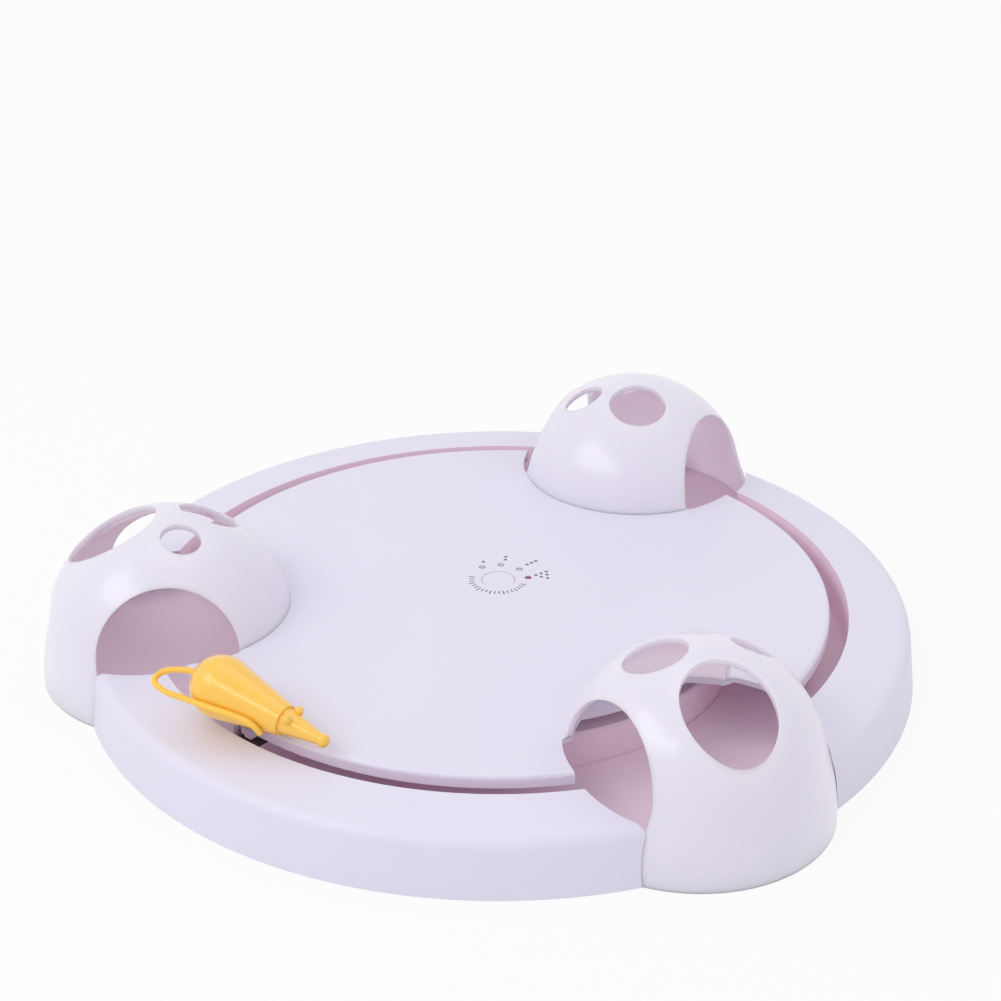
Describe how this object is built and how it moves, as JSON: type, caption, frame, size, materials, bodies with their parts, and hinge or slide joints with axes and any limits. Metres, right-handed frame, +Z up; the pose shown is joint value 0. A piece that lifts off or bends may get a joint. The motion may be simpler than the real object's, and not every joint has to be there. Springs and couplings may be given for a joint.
{
  "type": "mouse turntable cat toy",
  "caption": "Round cat toy: a motor carries a toy mouse round an open slot between cover and rim, under arched domes with paw holes; button and speed lamps in the middle.",
  "frame": {"origin": "on the floor under the turntable's axis", "axes": "+Z up along the turntable's axis, +Y away from the side with the toy's front, +X right"},
  "size_m": [0.3153, 0.3026, 0.062],
  "materials": {
    "shell": "smooth satin-gloss ABS, lavender white",
    "inner_shell": "matt ABS, pale mauve",
    "mouse": "glossy yellow-orange plastic",
    "tail": "flexible yellow-orange cord",
    "dark_plastic": "black moulded plastic",
    "black_steel": "black painted steel strip",
    "steel": "bright steel",
    "brass": "plain brass",
    "cell": "plain wrapped cell, no print",
    "board": "green circuit board",
    "lamp": "clear lamp body, unlit",
    "lit_lamp": "lamp body, glowing red",
    "rubber": "soft rubber pad",
    "gear_plastic": "ivory acetal"
  },
  "bodies": {
    "base": {"base_pan": "inner_shell", "drum_housing": "inner_shell", "centre_column": "inner_shell", "rim_front": "shell", "rim_right": "shell", "rim_rear": "shell", "top_cover": "shell", "dome_right": "shell", "dome_rear": "shell", "dome_left": "shell", "battery_box": "inner_shell", "battery_cells": "cell", "battery_contacts": "brass", "motor": "steel", "gear_plate": "dark_plastic", "idler_axle": "steel", "control_board": "board", "switch_body": "dark_plastic", "speed_lamps": "lamp", "lit_lamp": "lit_lamp", "rubber_feet": "rubber", "housing_screws": "steel", "rim_screws": "steel", "dome_screws": "steel", "column_screws": "steel", "cover_screw": "steel", "plate_screws": "steel"},
    "carousel": {"carousel": "dark_plastic", "carrier_arm": "black_steel", "arm_rivets": "steel", "mouse_stem": "steel", "mouse_body": "mouse", "mouse_tail": "tail"},
    "idler": {"idler_gear": "gear_plastic"},
    "pinion": {"motor_pinion": "brass", "motor_shaft": "steel"},
    "button": {"power_button": "shell", "switch_plunger": "gear_plastic"},
    "door": {"battery_door": "inner_shell", "door_screw": "steel"}
  },
  "joints": [
    {"name": "carousel_spin", "type": "hinge", "parent": "base", "child": "carousel", "pos_m": [0, 0, 0], "axis": [0, 0, 1], "continuous": true},
    {"name": "idler_spin", "type": "hinge", "parent": "base", "child": "idler", "pos_m": [0, -0.033, 0], "axis": [0, 0, 1], "continuous": true},
    {"name": "pinion_spin", "type": "hinge", "parent": "base", "child": "pinion", "pos_m": [0, -0.053, 0], "axis": [0, 0, 1], "continuous": true},
    {"name": "button_press", "type": "slide", "parent": "base", "child": "button", "axis": [0, 0, -1], "range_m": [0, 0.0004], "stiffness_N_per_m": 4000},
    {"name": "door_off", "type": "slide", "parent": "base", "child": "door", "axis": [0, 0, -1], "range_m": [0, 0.03]}
  ],
  "couplings": [
    {"joint": "idler_spin", "follows": "carousel_spin", "ratio": -4.5},
    {"joint": "pinion_spin", "follows": "carousel_spin", "ratio": 18}
  ]
}
